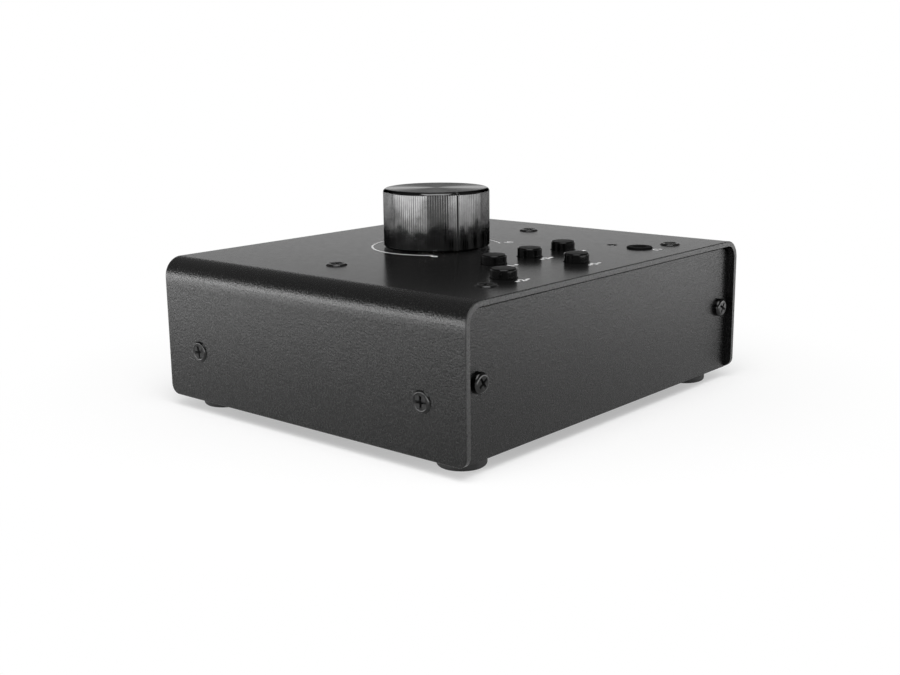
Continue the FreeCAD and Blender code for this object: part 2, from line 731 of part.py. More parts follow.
# ------------------------------------------------------------------ push buttons
def button_cap(x, y):
    crown_z = cap_top_z - BUTTON_DOME
    cap = rod(x, y, cap_bottom_z, crown_z, BUTTON_R)
    dome_r = (BUTTON_R**2 + BUTTON_DOME**2) / (2 * BUTTON_DOME)
    ball = Part.makeSphere(dome_r, Vector(x, y, cap_top_z - dome_r))
    slab = rod(x, y, crown_z - SNUG, cap_top_z + 1, BUTTON_R)
    cap = joined([cap, slab.common(ball)])
    cap = filleted(cap, BUTTON_EDGE_R, lambda b: crown_z - 0.1 < b.ZMin and b.XLength > BUTTON_R)
    flange = rod(x, y, cap_bottom_z, cap_bottom_z + BUTTON_FLANGE_H, BUTTON_FLANGE_R)
    cap = joined([cap, flange])
    socket_w = PLUNGER_W + 2 * SNUG
    return cap.cut(box(x, y, cap_bottom_z - 1, socket_w, socket_w, PLUNGER_IN_CAP + 1 + SNUG))


def plunger(x, y):
    stem = box(x, y, plunger_flange_z, PLUNGER_W, PLUNGER_W, plunger_top_z - plunger_flange_z)
    flange = box(x, y, plunger_flange_z, PLUNGER_FLANGE_W, PLUNGER_FLANGE_W, PLUNGER_FLANGE_H)
    return joined([stem, flange])


def coil_spring(x, y):
    z0 = switch_floor_z + SPRING_END_GAP + SPRING_WIRE_R
    z1 = plunger_flange_z - SPRING_END_GAP - SPRING_WIRE_R
    steps = SPRING_TURNS * SPRING_STEPS
    points = []
    for i in range(steps + 1):
        angle = 2 * math.pi * i / SPRING_STEPS
        rise = (z1 - z0) * i / steps
        points.append(Vector(SPRING_R * math.cos(angle), SPRING_R * math.sin(angle), rise))
    section = Part.Wire(Part.Circle(points[0], points[1] - points[0], SPRING_WIRE_R).toShape())
    coil = Part.makePolygon(points).makePipeShell([section], True, False, 1)
    return moved(coil, x, y, z0)


def switch_pin_places(x, y):
    reach = SWITCH_PIN_OFFSET
    return [(x + sx * reach, y + sy * reach) for sx in (-1, 1) for sy in (-1, 1)]


def switch_housing(x, y):
    housing = box(x, y, control_top_z, SWITCH_W, SWITCH_W, SWITCH_H)
    cavity_w = SWITCH_W - 2 * SWITCH_WALL
    stem_hole_w = PLUNGER_W + 2 * PLUNGER_GAP
    pin_hole_w = SWITCH_PIN_W + 2 * SNUG
    tools = [
        box(x, y, switch_floor_z, cavity_w, cavity_w, switch_lid_z - switch_floor_z),
        box(x, y, switch_lid_z - 1, stem_hole_w, stem_hole_w, SWITCH_LID + 2),
    ]
    for px, py in switch_pin_places(x, y):
        tools.append(box(px, py, control_top_z - 1, pin_hole_w, pin_hole_w, SWITCH_WALL + 2))
    return without(housing, tools)


def build_buttons():
    housings = []
    pins = []
    pin_h = control_top_z + SWITCH_PIN_RISE - control_pin_z
    for number, (x, y) in enumerate(button_places, start=1):
        save("button_cap_%d" % number, [button_cap(x, y)])
        save("switch_plunger_%d" % number, [plunger(x, y)])
        save("switch_spring_%d" % number, [coil_spring(x, y)])
        housings.append(switch_housing(x, y))
        for px, py in switch_pin_places(x, y):
            pins.append(box(px, py, control_pin_z, SWITCH_PIN_W, SWITCH_PIN_W, pin_h))
    save("switch_housings", housings)
    save("switch_pins", pins)


# ------------------------------------------------------------------ lamp and headphone socket
def lamp_lead_places():
    return [(side_column_x + s * LEAD_PITCH / 2, lamp_y) for s in (-1, 1)]


def phones_contacts(width, thickness):
    """Three upright strips beside the headphone bore."""
    radius = PHONES_BORE_R + PHONES_CONTACT_T / 2
    top = under_top_z - PHONES_FLOOR
    height = top - control_pin_z
    strips = []
    for angle in (90, 210, 330):
        strip = box(radius, 0, control_pin_z, thickness, width, height)
        strips.append(moved(spun(strip, angle), side_column_x, phones_y, 0))
    return strips


def build_lamp_and_socket():
    dome_z = top_z - LAMP_SINK - LAMP_R
    base = top_z - LAMP_H
    lens = joined(
        [
            rod(side_column_x, lamp_y, base, dome_z, LAMP_R),
            Part.makeSphere(LAMP_R, Vector(side_column_x, lamp_y, dome_z)),
            rod(side_column_x, lamp_y, base, base + LAMP_FLANGE_H, LAMP_FLANGE_R),
        ]
    )
    save("status_led", [lens])
    leads = [box(x, y, control_pin_z, LEAD_W, LEAD_W, base - control_pin_z) for x, y in lamp_lead_places()]
    save("led_leads", leads)

    nose_z = top_z + PHONES_NOSE_RISE
    x = side_column_x
    nose = rod(x, phones_y, control_top_z, nose_z, PHONES_NOSE_R)
    body = joined(
        [
            box(x, phones_y, control_top_z, PHONES_BODY_W, PHONES_BODY_W, TOP_SPACER_H - SLIP),
            filleted(nose, PHONES_NOSE_EDGE_R, lambda b: b.ZMin > nose_z - 0.1),
        ]
    )
    mouth_r = PHONES_BORE_R + PHONES_LEAD_IN
    bore = turned(
        [
            (0, control_top_z + PHONES_FLOOR),
            (PHONES_BORE_R, control_top_z + PHONES_FLOOR),
            (PHONES_BORE_R, nose_z - PHONES_LEAD_IN),
            (mouth_r, nose_z),
            (mouth_r, nose_z + 1),
            (0, nose_z + 1),
        ]
    )
    slots = phones_contacts(PHONES_CONTACT_W + 2 * SNUG, PHONES_CONTACT_T + 2 * SNUG)
    save("headphone_jack_body", [without(body, [moved(bore, x, phones_y, 0)] + slots)])
    save("headphone_jack_contacts", phones_contacts(PHONES_CONTACT_W, PHONES_CONTACT_T))


# ------------------------------------------------------------------ rear sockets
def line_contact_ys():
    return [panel_in_y - LINE_CONTACT_FIRST - i * LINE_CONTACT_PITCH for i in range(3)]


def line_contact(x, y, grow):
    """A contact leaf under the plug and its pin down through the board, grown for its slot."""
    leaf_z = line_jack_z - LINE_LEAF_DROP
    leaf = box(
        x,
        y,
        leaf_z - LINE_LEAF_T - grow,
        LINE_LEAF_W + 2 * grow,
        LINE_LEAF_L + 2 * grow,
        LINE_LEAF_T + 2 * grow,
    )
    pin_w = LINE_PIN_W + 2 * grow
    pin = box(x, y, main_pin_z, pin_w, pin_w, leaf_z - SNUG - main_pin_z)
    return joined([leaf, pin])


def line_jack_body(x):
    middle_y = panel_in_y - LINE_BODY_DEPTH / 2
    body = box(x, middle_y, main_top_z, LINE_BODY_W, LINE_BODY_DEPTH, LINE_BODY_W)
    tools = [
        rod_along_y(
            x, panel_in_y - LINE_BODY_DEPTH + LINE_FLOOR, panel_in_y + 1, line_jack_z, LINE_CAVITY_R
        ),
        rod_along_y(
            x, panel_in_y - LINE_COLLAR_SEAT, panel_in_y + 1, line_jack_z, LINE_COLLAR_R + SNUG
        ),
    ]
    tools += [line_contact(x, y, SNUG) for y in line_contact_ys()]
    return without(body, tools)


def line_jack_collar(x):
    y0 = panel_in_y - LINE_COLLAR_SEAT
    y1 = half_d - LINE_COLLAR_EDGE
    collar = rod_along_y(x, y0, y1, line_jack_z, LINE_COLLAR_R)
    return collar.cut(rod_along_y(x, y0 - 1, y1 + 1, line_jack_z, LINE_BORE_R))


def line_jack_nut(x):
    nut_body = facing(hexagon(0, 0, 0, LINE_NUT_H, LINE_NUT_FLATS), Vector(1, 0, 0), -90)
    nut_body = moved(nut_body, x, panel_out_y, line_jack_z)
    return nut_body.cut(
        rod_along_y(x, panel_out_y - 1, panel_out_y + LINE_NUT_H + 1, line_jack_z, LINE_COLLAR_R + SNUG)
    )


def build_rear_sockets():
    save("line_jack_bodies", [line_jack_body(x) for x in line_jack_xs])
    save("line_jack_collars", [line_jack_collar(x) for x in line_jack_xs])
    save("line_jack_nuts", [line_jack_nut(x) for x in line_jack_xs])
    contacts = [line_contact(x, y, 0.0) for x in line_jack_xs for y in line_contact_ys()]
    save("line_jack_contacts", contacts)

    inlet = joined(
        [
            box(inlet_x, panel_in_y - INLET_DEPTH / 2, main_top_z, INLET_W, INLET_DEPTH, INLET_BODY_H),
            rod_along_y(inlet_x, panel_in_y - 1, panel_out_y, inlet_z, INLET_NOSE_R),
        ]
    )
    pin_y = panel_out_y - INLET_BORE_DEPTH
    inlet = without(
        inlet,
        [
            rod_along_y(inlet_x, pin_y, panel_out_y + 1, inlet_z, INLET_BORE_R),
            rod_along_y(inlet_x, pin_y - INLET_PIN_SEAT, pin_y + SNUG, inlet_z, INLET_ROOT_R + SNUG),
        ],
    )
    save("power_inlet_body", [inlet])
    root = rod_along_y(inlet_x, pin_y - INLET_PIN_SEAT, pin_y, inlet_z, INLET_ROOT_R)
    pin = rod_along_y(inlet_x, pin_y - SNUG, pin_y + INLET_PIN_L, inlet_z, INLET_PIN_R)
    save("power_inlet_pin", [joined([root, pin])])


# ------------------------------------------------------------------ boards and what they carry
def control_board():
    y0 = top_screw_ys[0] - BOARD_MARGIN
    y1 = knob_y + CONTROL_BOARD_REAR
    width = 2 * (top_screw_x + BOARD_MARGIN)
    board = box(0, (y0 + y1) / 2, control_board_z, width, y1 - y0, BOARD_T)
    low = control_board_z - 1
    high = control_top_z + 1
    tools = [rod(x, y, low, high, SCREW_R + HOLE_GAP) for x, y in top_screw_places]
    tools += [rod(x, y, low, high, TRACK_PIN_R + HOLE_GAP) for x, y in track_pin_places()]
    for x, y in button_places:
        for px, py in switch_pin_places(x, y):
            tools.append(rod(px, py, low, high, SWITCH_PIN_W * math.sqrt(0.5) + SLIP))
    tools += [rod(x, y, low, high, LEAD_W * math.sqrt(0.5) + SLIP) for x, y in lamp_lead_places()]
    tools += phones_contacts(PHONES_CONTACT_W + 2 * SLIP, PHONES_CONTACT_T + 2 * SLIP)
    return without(board, tools)


def main_board():
    y0 = main_spacer_ys[0] - BOARD_MARGIN
    y1 = panel_in_y - PANEL_GAP
    width = 2 * (main_spacer_x + BOARD_MARGIN)
    board = box(0, (y0 + y1) / 2, main_board_z, width, y1 - y0, BOARD_T)
    low = main_board_z - 1
    high = main_top_z + 1
    tools = [rod(x, y, low, high, SCREW_R + HOLE_GAP) for x, y in main_spacer_places]
    for x in line_jack_xs:
        for y in line_contact_ys():
            tools.append(rod(x, y, low, high, LINE_PIN_W * math.sqrt(0.5) + SLIP))
    return without(board, tools)


def ribbon_cable():
    """A flat cable that leaves the lower header sideways and turns back up into the upper one."""
    low_z = main_top_z + RIBBON_LIFT
    high_z = control_board_z - RIBBON_LIFT
    start_x = header_x - HEADER_W / 2
    turn_x = start_x - RIBBON_REACH
    turn_r = (high_z - low_z) / 2
    middle_z = (high_z + low_z) / 2
    y0 = header_y - RIBBON_W / 2

    def loop(radius):
        """The side outline of a loop of this radius, closed off at the headers."""
        top = middle_z + radius
        bottom = middle_z - radius
        outer = Part.Arc(
            Vector(turn_x, y0, bottom), Vector(turn_x - radius, y0, middle_z), Vector(turn_x, y0, top)
        ).toShape()
        rest = Part.makePolygon(
            [
                Vector(turn_x, y0, top),
                Vector(start_x, y0, top),
                Vector(start_x, y0, bottom),
                Vector(turn_x, y0, bottom),
            ]
        )
        face = Part.Face(Part.Wire([outer] + rest.Edges))
        return face.extrude(Vector(0, RIBBON_W, 0))

    return loop(turn_r + RIBBON_T / 2).cut(loop(turn_r - RIBBON_T / 2))


def audio_chip(x, y):
    body = box(x, y, main_top_z + CHIP_STAND, CHIP_W, CHIP_L, CHIP_H)
    pieces = [body]
    leg_l = CHIP_W + 2 * CHIP_LEG_REACH
    knee_z = main_top_z + CHIP_STAND + CHIP_H / 2
    for i in range(4):
        leg_y = y + CHIP_LEG_PITCH * (i - 1.5)
        pieces.append(box(x, leg_y, knee_z - CHIP_LEG_T, leg_l, CHIP_LEG_W, CHIP_LEG_T))
        for side in (-1, 1):
            leg_x = x + side * (leg_l - CHIP_LEG_T) / 2
            pieces.append(box(leg_x, leg_y, main_top_z, CHIP_LEG_T, CHIP_LEG_W, knee_z - main_top_z))
    return joined(pieces)


def build_boards():
    save("control_board", [control_board()])
    save("main_board", [main_board()])
    tops = [spacer(x, y, control_top_z, under_top_z) for x, y in top_screw_places]
    save("control_standoffs", tops)
    lows = [spacer(x, y, tray_floor_z, main_board_z) for x, y in main_spacer_places]
    save("main_standoffs", lows)

    screw = pan_screw(BOARD_SCREW_L)
    upright = [moved(screw, x, y, main_top_z) for x, y in main_spacer_places]
    hanging = facing(screw, Vector(1, 0, 0), 180)
    upright += [moved(hanging, x, y, control_board_z) for x, y in top_screw_places]
    save("board_screws", upright)
    short_screw = facing(pan_screw(TRAY_SCREW_L), Vector(1, 0, 0), 180)
    save("tray_screws", [moved(short_screw, x, y, base_z) for x, y in main_spacer_places])

    lower = box(header_x, header_y, main_top_z, HEADER_W, HEADER_L, HEADER_H)
    upper = box(header_x, header_y, control_board_z - HEADER_H, HEADER_W, HEADER_L, HEADER_H)
    save("board_headers", [lower, upper])
    save("ribbon_cable", [ribbon_cable()])

    relays = []
    for i in range(RELAY_COUNT):
        relays.append(box(RELAY_X + i * RELAY_PITCH, relay_y, main_top_z, RELAY_W, RELAY_L, RELAY_H))
    save("selector_relays", relays)
    chips = [audio_chip(CHIP_X + i * CHIP_PITCH, chip_y) for i in range(CHIP_COUNT)]
    save("audio_chips", chips)
    cans = []
    for i in range(CAP_COUNT):
        can = rod(cap_x + i * CAP_PITCH, cap_y, main_top_z, main_top_z + CAP_H, CAP_R)
        cans.append(filleted(can, CAP_EDGE_R, lambda b: b.ZMin > main_top_z + CAP_H - 0.1))
    save("filter_capacitors", cans)


os.makedirs("parts", exist_ok=True)
build_case()
build_volume_control()
build_buttons()
build_lamp_and_socket()
build_rear_sockets()
build_boards()
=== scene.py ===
import math

import bmesh
import bpy
from mathutils import Matrix, Vector


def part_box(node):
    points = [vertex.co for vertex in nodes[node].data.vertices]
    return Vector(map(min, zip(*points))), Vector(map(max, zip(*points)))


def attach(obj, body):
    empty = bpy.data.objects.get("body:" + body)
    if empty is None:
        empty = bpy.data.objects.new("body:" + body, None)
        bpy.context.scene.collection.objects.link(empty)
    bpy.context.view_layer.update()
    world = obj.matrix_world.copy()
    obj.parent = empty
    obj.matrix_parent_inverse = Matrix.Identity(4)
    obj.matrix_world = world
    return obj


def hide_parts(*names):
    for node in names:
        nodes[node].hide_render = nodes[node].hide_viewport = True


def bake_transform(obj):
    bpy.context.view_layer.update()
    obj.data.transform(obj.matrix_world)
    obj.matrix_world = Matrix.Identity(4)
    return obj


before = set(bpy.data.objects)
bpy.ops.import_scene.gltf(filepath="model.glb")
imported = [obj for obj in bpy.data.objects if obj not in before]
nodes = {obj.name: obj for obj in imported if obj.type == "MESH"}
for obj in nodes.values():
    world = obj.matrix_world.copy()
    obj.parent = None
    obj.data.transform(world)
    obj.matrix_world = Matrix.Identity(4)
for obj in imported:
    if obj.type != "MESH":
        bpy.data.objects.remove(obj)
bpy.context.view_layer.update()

# Looks of the desktop monitor controller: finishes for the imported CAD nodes, the white print on
# its panels, the studio and the camera. Metres, +Z up; the user sits at -Y.

MM = 0.001

# ------------------------------------------------------------------ places taken from the CAD
cover_low, cover_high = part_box("top_cover")
top_z = cover_high.z
BEND_R = 5.5 * MM  # outside radius of the cover's bends
bend_start_z = top_z - BEND_R
rear_panel_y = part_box("rear_panel")[1].y
knob_low, knob_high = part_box("volume_knob")
knob_x = (knob_low.x + knob_high.x) / 2
knob_y = (knob_low.y + knob_high.y) / 2
knob_r = (knob_high.x - knob_low.x) / 2
POINTER_ANGLE = math.radians(244)  # where the knob's groove is, anticlockwise from +X
pointer_way = Vector((math.cos(POINTER_ANGLE), math.sin(POINTER_ANGLE), 0))
BUTTONS = range(1, 6)


def middle(node):
    """The centre of a node's box."""
    low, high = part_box(node)
    return (low + high) / 2


def link_object(name, data):
    """A new object in the scene."""
    made = bpy.data.objects.new(name, data)
    bpy.context.scene.collection.objects.link(made)
    return made


# ------------------------------------------------------------------ camera
CAMERA_AT = Vector((-272.92, -231.72, 96.78)) * MM
CAMERA_TURN = 49.144  # degrees clockwise from +Y, seen from above
CAMERA_TILT = 12.657  # degrees below the horizon
CAMERA_ROLL = -0.628
CAMERA_LENS = 49.02  # millimetres, for a sensor of this width
SENSOR_W = 36.0
CLIP_NEAR = 0.01  # metres
CLIP_FAR = 50


def build_camera():
    data = bpy.data.cameras.new("camera")
    data.sensor_fit = "HORIZONTAL"
    data.sensor_width = SENSOR_W
    data.lens = CAMERA_LENS
    data.clip_start = CLIP_NEAR
    data.clip_end = CLIP_FAR
    camera = link_object("camera", data)
    turn = Matrix.Rotation(math.radians(-CAMERA_TURN), 4, "Z")
    tilt = Matrix.Rotation(math.radians(90 - CAMERA_TILT), 4, "X")
    roll = Matrix.Rotation(math.radians(CAMERA_ROLL), 4, "Z")
    camera.matrix_world = Matrix.Translation(CAMERA_AT) @ turn @ tilt @ roll
    bpy.context.scene.camera = camera


# ------------------------------------------------------------------ material nodes
class Finish:
    """A material under construction: one Principled shader and the nodes that feed it."""

    def __init__(self, name, **values):
        self.material = bpy.data.materials.new(name)
        self.material.use_nodes = True
        self.tree = self.material.node_tree
        self.shader = self.tree.nodes["Principled BSDF"]
        for key, value in values.items():
            self.shader.inputs[key.replace("_", " ")].default_value = value
        self.place = self.node("ShaderNodeTexCoord").outputs["Object"]

    def node(self, kind, **settings):
        made = self.tree.nodes.new(kind)
        for key, value in settings.items():
            setattr(made, key, value)
        return made

    def link(self, source, target):
        self.tree.links.new(source, target)

    def noise(self, size, detail=2.0, rough=0.5, stretch=(1, 1, 1), place=None):
        """Noise whose grain is about size metres across; stretch squeezes it along each axis."""
        scaled = self.node("ShaderNodeVectorMath", operation="MULTIPLY")
        self.link(place or self.place, scaled.inputs[0])
        scaled.inputs[1].default_value = [s / size for s in stretch]
        made = self.node("ShaderNodeTexNoise")
        self.link(scaled.outputs[0], made.inputs["Vector"])
        made.inputs["Scale"].default_value = 1
        made.inputs["Detail"].default_value = detail
        made.inputs["Roughness"].default_value = rough
        return made.outputs["Fac"]

    def spread(self, source, low, high, start=0.35, end=0.65):
        """Map a pattern, as it goes from start to end, onto the range from low to high."""
        made = self.node("ShaderNodeMapRange")
        made.clamp = True
        self.link(source, made.inputs["Value"])
        made.inputs["From Min"].default_value = start
        made.inputs["From Max"].default_value = end
        made.inputs["To Min"].default_value = low
        made.inputs["To Max"].default_value = high
        return made.outputs["Result"]

    def tint(self, source, dark, light, start=0.3, end=0.7):
        """Colours from dark to light, as a pattern goes from start to end."""
        ramp = self.node("ShaderNodeValToRGB")
        ramp.color_ramp.elements[0].position = start
        ramp.color_ramp.elements[0].color = (*dark, 1)
        ramp.color_ramp.elements[1].position = end
        ramp.color_ramp.elements[1].color = (*light, 1)
        self.link(source, ramp.inputs["Fac"])
        self.link(ramp.outputs["Color"], self.shader.inputs["Base Color"])

    def roughness(self, source, low, high):
        """Roughness from low to high, following a 0 to 1 pattern."""
        self.link(self.spread(source, low, high), self.shader.inputs["Roughness"])

    def bump(self, source, height, strength=1.0, under=None):
        """Relief of a pattern, height metres tall where it is 1, added to the relief under it."""
        made = self.node("ShaderNodeBump")
        made.inputs["Strength"].default_value = strength
        made.inputs["Distance"].default_value = height
        self.link(source, made.inputs["Height"])
        if under:
            self.link(under, made.inputs["Normal"])
        self.link(made.outputs["Normal"], self.shader.inputs["Normal"])
        return made.outputs["Normal"]

    def turned_about(self, axis):
        """Stretch highlights across rings about an axis of the object."""
        tangent = self.node("ShaderNodeTangent", direction_type="RADIAL", axis=axis)
        self.link(tangent.outputs["Tangent"], self.shader.inputs["Tangent"])


def grey(value):
    return (value, value, value)


WALL_IOR = 1.3
BEND_IOR = 1.48
GLOSS_FROM = -0.5 * MM  # heights over the bends' start where the first fades into the second
GLOSS_TO = 2.5 * MM
GLOSS_SHIFT = 3.0 * MM  # how far down a grain of 1 moves the fade
ORANGE_PEEL = 1.7 * MM


def coat_wall(finish):
    """Texture of the walls' coat: fine grains that catch light, over a broad and faint relief."""
    grain = finish.noise(0.5 * MM, detail=3, rough=0.65)
    orange_peel = finish.noise(ORANGE_PEEL, detail=1)
    finish.tint(grain, grey(0.002), grey(0.005), start=0.35, end=0.7)
    finish.roughness(grain, 0.2, 0.3)
    coarse = finish.bump(orange_peel, 0.05 * MM, 0.5)
    finish.bump(grain, 0.11 * MM, 1.0, under=coarse)
    return grain


def powder_coat():
    """The coat of the tray and the end panels."""
    finish = Finish("powder_coat", IOR=WALL_IOR)
    coat_wall(finish)
    return finish.material


def powder_coat_cover():
    """The coat on the folded cover: it turns glossier, in a ragged fade, where the bends begin."""
    finish = Finish("powder_coat_cover")
    grain = coat_wall(finish)
    split = finish.node("ShaderNodeSeparateXYZ")
    finish.link(finish.place, split.inputs[0])
    ragged = finish.node("ShaderNodeMath", operation="MULTIPLY_ADD")
    finish.link(grain, ragged.inputs[0])
    ragged.inputs[1].default_value = GLOSS_SHIFT
    finish.link(split.outputs["Z"], ragged.inputs[2])
    fade = (bend_start_z + GLOSS_FROM, bend_start_z + GLOSS_TO)
    gloss = finish.spread(ragged.outputs[0], WALL_IOR, BEND_IOR, *fade)
    finish.link(gloss, finish.shader.inputs["IOR"])
    return finish.material


def powder_coat_edge():
    """The coat on the cover's cut front edge, where it is thick; its colour is painted lighter than
    the walls', a painted highlight for the light the edge catches.
    """
    finish = Finish("powder_coat_edge", IOR=1.36)
    grain = finish.noise(0.6 * MM, detail=3, rough=0.65)
    # painted highlight: the edge's colour is several times lighter than the walls' coat, standing
    # in for the light it catches
    finish.tint(grain, grey(0.014), grey(0.03), start=0.35, end=0.7)
    finish.roughness(grain, 0.26, 0.4)
    finish.bump(grain, 0.16 * MM, 1.0)
    return finish.material


def powder_coat_top():
    """The same coat on the flat top, where it has flowed out smoother."""
    finish = Finish("powder_coat_top", IOR=1.37)
    grain = finish.noise(0.42 * MM, detail=2, rough=0.6)
    orange_peel = finish.noise(ORANGE_PEEL, detail=1)
    finish.tint(grain, grey(0.003), grey(0.006), start=0.35, end=0.7)
    finish.roughness(orange_peel, 0.22, 0.235)
    finish.bump(grain, 0.002 * MM, 0.15)
    return finish.material


def knob_side():
    """Black anodising over the knurled side, nearly a mirror but dark."""
    finish = Finish("knob_side_anodised", Metallic=1.0, Specular_Tint=(0.1, 0.1, 0.1, 1))
    wear = finish.noise(2.5 * MM, detail=3)
    fine = finish.noise(0.25 * MM, detail=2)
    finish.tint(wear, grey(0.042), grey(0.06))
    finish.roughness(wear, 0.07, 0.11)
    finish.bump(fine, 0.008 * MM, 0.3)
    return finish.material


def knob_slot():
    """Matt black paint in the pointer's groove."""
    finish = Finish("knob_pointer", IOR=1.45)
    grain = finish.noise(0.3 * MM, detail=2)
    finish.tint(grain, grey(0.012), grey(0.03))
    finish.roughness(grain, 0.6, 0.75)
    finish.bump(grain, 0.01 * MM, 0.4)
    return finish.material


def knob_top():
    """Fine turning marks: rings about the knob's own axis."""
    finish = Finish("knob_top_turned", Metallic=1.0, Anisotropic=0.9, Anisotropic_Rotation=0.25)
    finish.turned_about("Z")
    centred = finish.node("ShaderNodeVectorMath", operation="SUBTRACT")
    finish.link(finish.place, centred.inputs[0])
    centred.inputs[1].default_value = (knob_x, knob_y, knob_high.z)
    radius = finish.node("ShaderNodeVectorMath", operation="LENGTH")
    finish.link(centred.outputs[0], radius.inputs[0])
    along = finish.node("ShaderNodeCombineXYZ")
    finish.link(radius.outputs["Value"], along.inputs["X"])
    rings = finish.noise(0.12 * MM, detail=3, rough=0.7, place=along.outputs[0])
    broad = finish.noise(1.1 * MM, detail=2, place=along.outputs[0])
    finish.tint(broad, grey(0.075), grey(0.12))
    finish.roughness(rings, 0.22, 0.34)
    finish.bump(rings, 0.006 * MM, 0.35)
    return finish.material


def polished_plastic():
    """The side of a button cap: deep black with faint scuffs."""
    finish = Finish("cap_polished", IOR=1.3)
    swirl = finish.noise(1.5 * MM, detail=3)
    scuffs = finish.noise(0.5 * MM, detail=3, rough=0.7, stretch=(1, 4, 1))
    finish.tint(swirl, grey(0.001), grey(0.002))
    finish.roughness(scuffs, 0.07, 0.13)
    finish.bump(swirl, 0.01 * MM, 0.15)
    return finish.material


def pressed_face():
    """The face of a button cap, dulled by a fine grain."""
    finish = Finish("cap_face", IOR=1.4)
    grain = finish.noise(0.25 * MM, detail=2)
    cloud = finish.noise(1.5 * MM, detail=3)
    finish.tint(cloud, grey(0.006), grey(0.012))
    finish.roughness(cloud, 0.5, 0.6)
    finish.bump(grain, 0.01 * MM, 0.4)
    return finish.material


def screw_recess():
    """Black oxide in the cross recess of a screw, where no polish reaches."""
    finish = Finish("screw_recess", IOR=1.4)
    grain = finish.noise(0.3 * MM, detail=2)
    finish.tint(grain, grey(0.003), grey(0.009))
    finish.roughness(grain, 0.6, 0.75)
    finish.bump(grain, 0.01 * MM, 0.4)
    return finish.material


def moulded_plastic(name, dark, light, low=0.38, high=0.5, ior=1.48):
    """Any moulded plastic: two colours, two ends of its roughness, and its refraction."""
    finish = Finish(name, IOR=ior)
    cloud = finish.noise(3 * MM, detail=3)
    grain = finish.noise(0.3 * MM, detail=2)
    finish.tint(cloud, dark, light)
    finish.roughness(cloud, low, high)
    finish.bump(grain, 0.015 * MM, 0.5)
    return finish.material


def metal(name, dark, light, low, high):
    """Any plated or plain metal: two colours and the two ends of its roughness."""
    finish = Finish(name, Metallic=1.0)
    cloud = finish.noise(1.8 * MM, detail=4)
    grain = finish.noise(0.4 * MM, detail=3, rough=0.6)
    finish.tint(cloud, dark, light)
    finish.roughness(grain, low, high)
    finish.bump(grain, 0.01 * MM, 0.5)
    return finish.material


def rubber():
    """Black rubber with a dusting that shows as lighter, duller patches."""
    finish = Finish("rubber_feet", IOR=1.45)
    dust = finish.noise(2.2 * MM, detail=4, rough=0.65)
    grain = finish.noise(0.35 * MM, detail=2)
    finish.tint(dust, grey(0.01), grey(0.022))
    finish.roughness(dust, 0.62, 0.8)
    finish.bump(grain, 0.03 * MM, 0.6)
    return finish.material


def lens():
    """The lamp's hazy clear lens."""
    finish = Finish("lamp_lens", Transmission_Weight=0.55, IOR=1.49)
    haze = finish.noise(0.8 * MM, detail=2)
    finish.tint(haze, grey(0.42), grey(0.52))
    finish.roughness(haze, 0.12, 0.22)
    finish.bump(haze, 0.01 * MM, 0.2)
    return finish.material


def white_print():
    """Screen-printed ink: slightly uneven cover and a faint tooth from the coat below it."""
    finish = Finish("print_white", IOR=1.45)
    cover = finish.noise(0.5 * MM, detail=3)
    grain = finish.noise(0.42 * MM, detail=2)
    finish.tint(cover, grey(0.84), grey(0.93))
    finish.roughness(cover, 0.45, 0.6)
    finish.bump(grain, 0.02 * MM, 0.5)
    return finish.material


def circuit_board():
    """Green lacquer over copper traces, which run mostly along Y."""
    finish = Finish("board_green", IOR=1.5)
    traces = finish.noise(1.2 * MM, detail=1, stretch=(1, 0.15, 1))
    finish.tint(traces, (0.006, 0.06, 0.025), (0.012, 0.11, 0.05), start=0.45, end=0.55)
    finish.roughness(traces, 0.28, 0.4)
    finish.bump(traces, 0.03 * MM, 0.4)
    return finish.material


RIBBON_RIB = 0.635 * MM  # half the spacing of the cable's cores


def ribbon():
    """Grey cable with a fine rib for each of its cores, which lie side by side along Y."""
    finish = Finish("ribbon_grey", IOR=1.48)
    apart = finish.node("ShaderNodeSeparateXYZ")
    finish.link(finish.place, apart.inputs[0])
    ribs = finish.node("ShaderNodeMath", operation="PINGPONG")
    ribs.inputs[1].default_value = RIBBON_RIB
    finish.link(apart.outputs["Y"], ribs.inputs[0])
    cloud = finish.noise(2 * MM)
    finish.tint(cloud, grey(0.3), grey(0.38))
    finish.roughness(cloud, 0.45, 0.6)
    finish.bump(ribs.outputs[0], 1.0, 0.5)  # the ribs are in metres already
    return finish.material


def paint(material, *names):
    """Give whole nodes one finish."""
    for name in names:
        slots = nodes[name].data.materials
        slots.clear()
        slots.append(material)


def paint_faces(material, name, wanted):
    """Add a second finish to a node, on the faces that the test picks by normal and centre."""
    mesh = nodes[name].data
    mesh.materials.append(material)
    index = len(mesh.materials) - 1
    for face in mesh.polygons:
        if wanted(face.normal, face.center):
            face.material_index = index


POINTER_HALF_W = 0.4 * MM
POINTER_DEPTH = 0.15 * MM  # faces of the groove lie at least this far below the knob's side
KNOB_SIDE_FROM = 0.9  # share of the knob's radius where its side begins
KNOB_TOP_DEPTH = 0.1 * MM  # faces of the top lie within this of the knob's highest point
COVER_EDGE_DEPTH = 0.4 * MM  # faces of the cut edge lie within this of the cover's front
FLAT_UP = 0.999  # upward part of a face's normal, for a flat top
MOSTLY_UP = 0.9
FRONTWARD = -0.5  # and its part along Y, for an edge that faces the user
RAISED_HEAD_R = 2.95 * MM
PAN_HEAD_R = 2.7 * MM
RECESS_R = 1.75 * MM  # a circle that holds the whole cross
RECESS_DEPTH = 0.02 * MM  # faces of a recess lie at least this far below the head's top
X, Y, Z = range(3)


